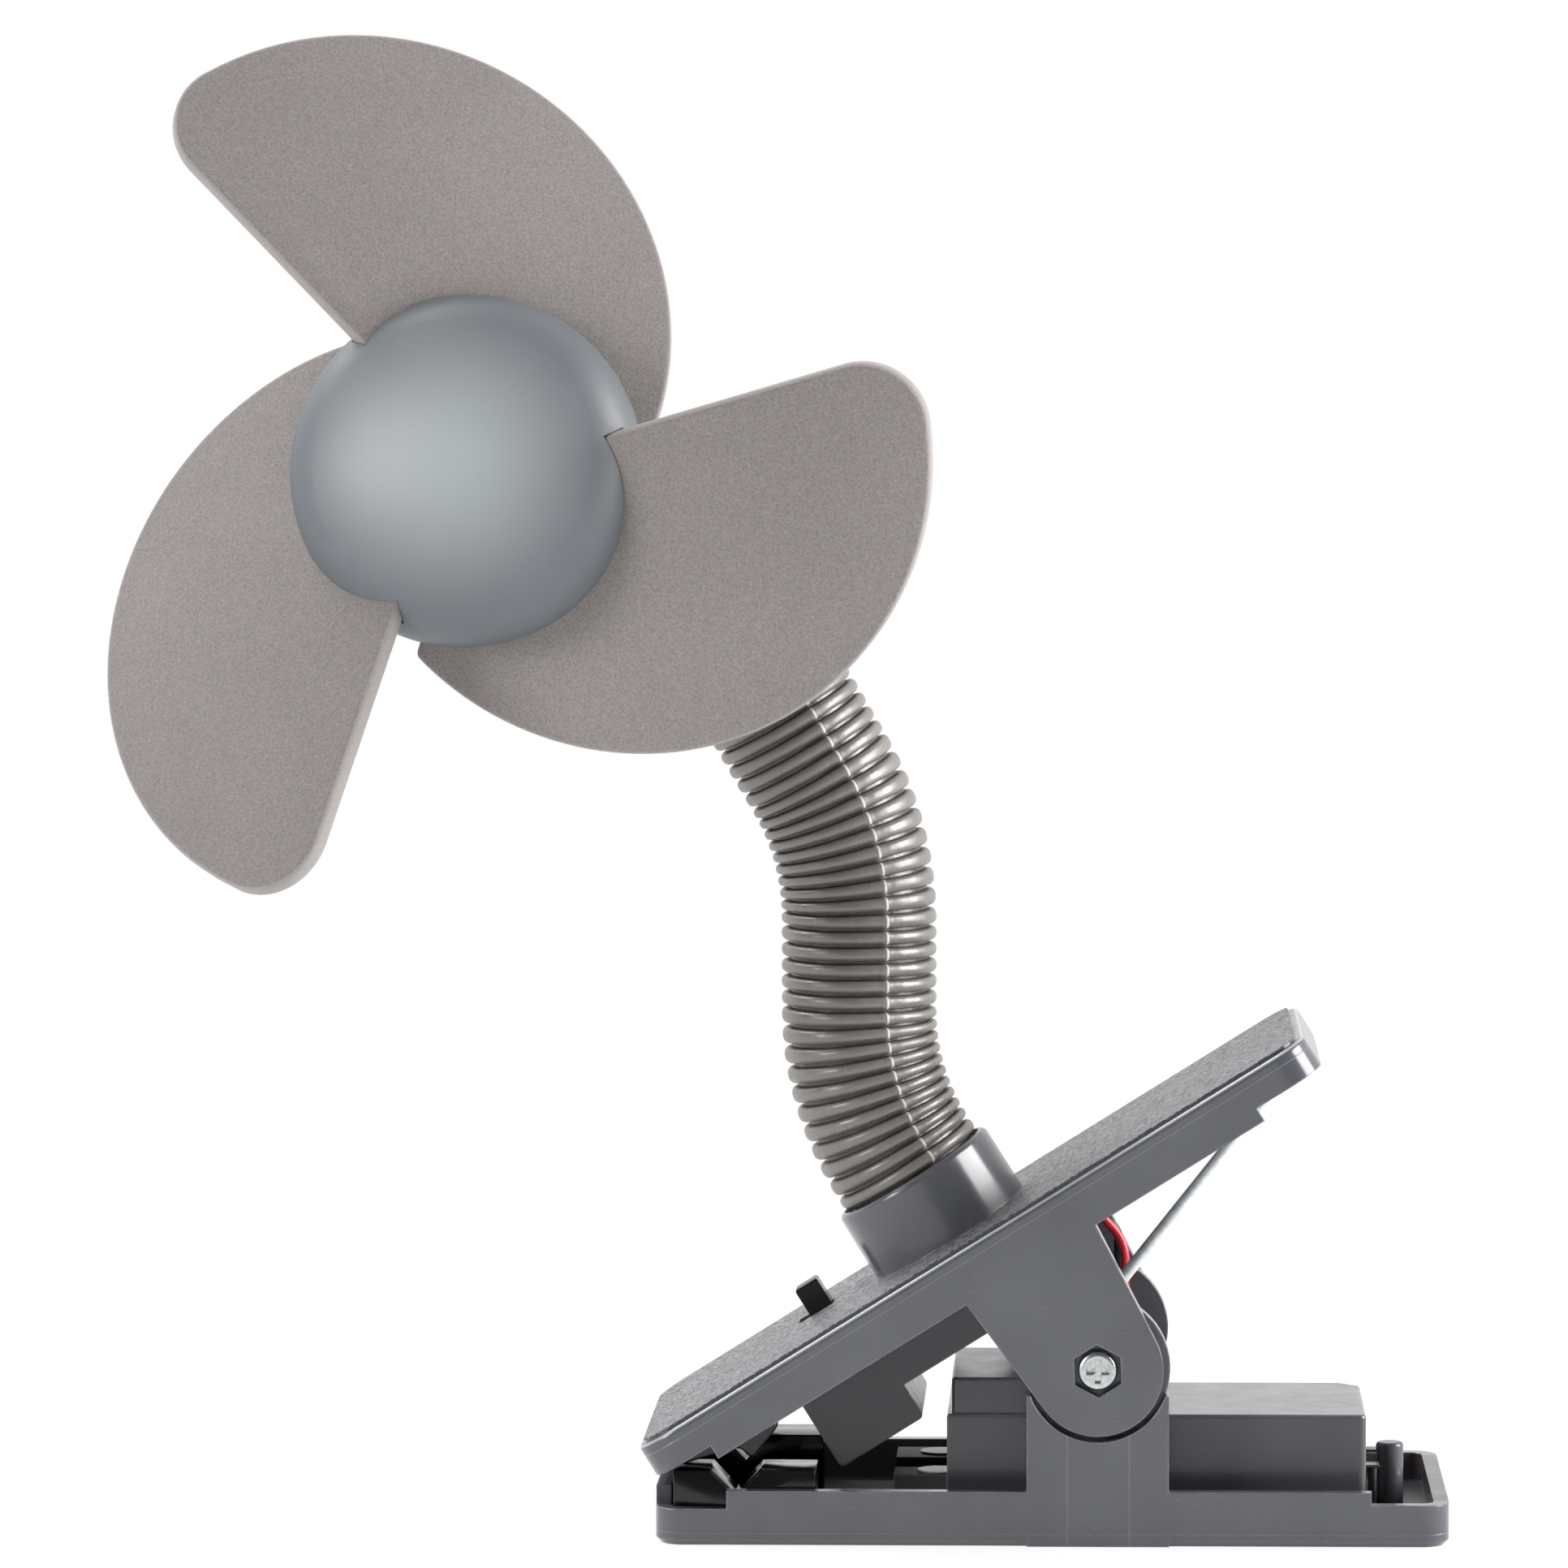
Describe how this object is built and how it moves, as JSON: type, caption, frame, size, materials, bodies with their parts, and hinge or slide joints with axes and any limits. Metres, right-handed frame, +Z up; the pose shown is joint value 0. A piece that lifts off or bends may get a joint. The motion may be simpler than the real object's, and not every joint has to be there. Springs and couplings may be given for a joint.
{
  "type": "clip fan",
  "caption": "Battery clip fan: spring clip holding two cells, slide switch, ribbed bendable neck and a small motor head with a domed hub and soft foam blades.",
  "frame": {"origin": "centre of the underside the clip stands on", "axes": "+X along the clip towards its handle end, +Y away from the viewer of the picture, +Z up; the fan faces -Y"},
  "size_m": [0.1877, 0.1114, 0.2157],
  "materials": {
    "neck_grey": "glossy soft plastic sleeve",
    "spring_steel": "plain spring steel",
    "lead_black": "wire insulation",
    "blade_foam": "fine grained foam",
    "clip_grey": "moulded grey, grained deck",
    "pad_black": "glossy rubber",
    "cell_wrap": "printed wrap, plain",
    "contact_plate": "nickel plated",
    "zinc_steel": "zinc plated",
    "lead_red": "wire insulation",
    "cover_dark": "moulded grey",
    "switch_black": "satin black",
    "dome_satin": "satin blue grey",
    "head_plastic": "satin grey",
    "motor_steel": "plated steel",
    "bush_brass": "sintered bronze look"
  },
  "bodies": {
    "base": {"lower_jaw": "clip_grey", "wiring_cap": "clip_grey", "lower_pad_near": "pad_black", "lower_pad_far": "pad_black", "cell_1": "cell_wrap", "cell_2": "cell_wrap", "bridge_contact": "contact_plate", "contact_plate_plus": "contact_plate", "contact_plate_minus": "contact_plate", "hinge_screw": "zinc_steel", "torsion_spring": "spring_steel", "red_lead": "lead_red", "black_lead": "lead_black"},
    "door": {"battery_door": "clip_grey", "door_screw": "zinc_steel"},
    "cover": {"upper_jaw": "clip_grey", "upper_pad_near": "pad_black", "upper_pad_far": "pad_black", "switch_cover": "cover_dark", "cover_screw_1": "zinc_steel", "cover_screw_2": "zinc_steel", "switch_body": "switch_black", "switch_lead": "lead_black", "hinge_nut": "zinc_steel", "neck_nut": "zinc_steel", "neck_sleeve_1": "neck_grey", "gooseneck_1": "spring_steel", "motor_leads_1": "lead_black"},
    "knob": {"switch_knob": "switch_black"},
    "neck_2": {"neck_sleeve_2": "neck_grey", "gooseneck_2": "spring_steel", "motor_leads_2": "lead_black"},
    "neck_3": {"neck_sleeve_3": "neck_grey", "gooseneck_3": "spring_steel", "motor_leads_3": "lead_black"},
    "neck_4": {"neck_sleeve_4": "neck_grey", "gooseneck_4": "spring_steel", "motor_leads_4": "lead_black"},
    "neck_5": {"neck_sleeve_5": "neck_grey", "gooseneck_5": "spring_steel", "motor_leads_5": "lead_black"},
    "neck_6": {"neck_sleeve_6": "neck_grey", "gooseneck_6": "spring_steel", "motor_leads_6": "lead_black"},
    "head": {"neck_sleeve_7": "neck_grey", "gooseneck_7": "spring_steel", "motor_leads_7": "lead_black", "housing_front": "head_plastic", "housing_rear": "head_plastic", "motor_can": "motor_steel", "motor_bush": "bush_brass", "motor_end_cap": "switch_black"},
    "rotor": {"motor_shaft": "motor_steel", "armature": "motor_steel", "hub_drum": "head_plastic", "hub_dome": "dome_satin", "blade_1": "blade_foam", "blade_2": "blade_foam", "blade_3": "blade_foam"}
  },
  "joints": [
    {"name": "jaw_hinge", "type": "hinge", "parent": "base", "child": "cover", "pos_m": [0.0066, 0, 0.02535], "axis": [0, 1, 0], "range_deg": [0, 30], "stiffness_Nm_per_rad": 0.6, "springref_deg": -28.65, "deforming": ["torsion_spring", "red_lead", "black_lead"]},
    {"name": "battery_door_slide", "type": "slide", "parent": "base", "child": "door", "axis": [0, 0, -1], "range_m": [0, 0.012]},
    {"name": "switch_slide", "type": "slide", "parent": "cover", "child": "knob", "axis": [-0.848, 0, -0.5299], "range_m": [0, 0.0018]},
    {"name": "neck_bend_1", "type": "hinge", "parent": "cover", "child": "neck_2", "pos_m": [-0.02644, 0, 0.06269], "axis": [0, 1, 0], "range_deg": [-12, 12]},
    {"name": "neck_sway_1", "type": "hinge", "parent": "neck_2", "child": "neck_3", "pos_m": [-0.0283, 0, 0.08138], "axis": [-1, 0, 0], "range_deg": [-12, 12]},
    {"name": "neck_bend_2", "type": "hinge", "parent": "neck_3", "child": "neck_4", "pos_m": [-0.03, -0.00013, 0.1001], "axis": [-0.0032, 0.9998, 0.0215], "range_deg": [-12, 12]},
    {"name": "neck_sway_2", "type": "hinge", "parent": "neck_4", "child": "neck_5", "pos_m": [-0.03838, -0.00077, 0.11693], "axis": [-0.8646, 0.0102, -0.5024], "range_deg": [-12, 12]},
    {"name": "neck_bend_3", "type": "hinge", "parent": "neck_5", "child": "neck_6", "pos_m": [-0.0495, -0.00255, 0.13192], "axis": [-0.1167, 0.9791, 0.1664], "range_deg": [-12, 12]},
    {"name": "neck_sway_3", "type": "hinge", "parent": "neck_6", "child": "head", "pos_m": [-0.06495, -0.00861, 0.14054], "axis": [-0.4785, 0.0957, -0.8728], "range_deg": [-12, 12]},
    {"name": "fan_spin", "type": "hinge", "parent": "head", "child": "rotor", "pos_m": [-0.0802, -0.065, 0.15565], "axis": [-0.1141, -0.9715, 0.2079], "continuous": true}
  ],
  "couplings": [
    {"joint": "neck_bend_2", "follows": "neck_bend_1", "ratio": 1},
    {"joint": "neck_sway_2", "follows": "neck_sway_1", "ratio": 1},
    {"joint": "neck_bend_3", "follows": "neck_bend_1", "ratio": 1},
    {"joint": "neck_sway_3", "follows": "neck_sway_1", "ratio": 1}
  ]
}
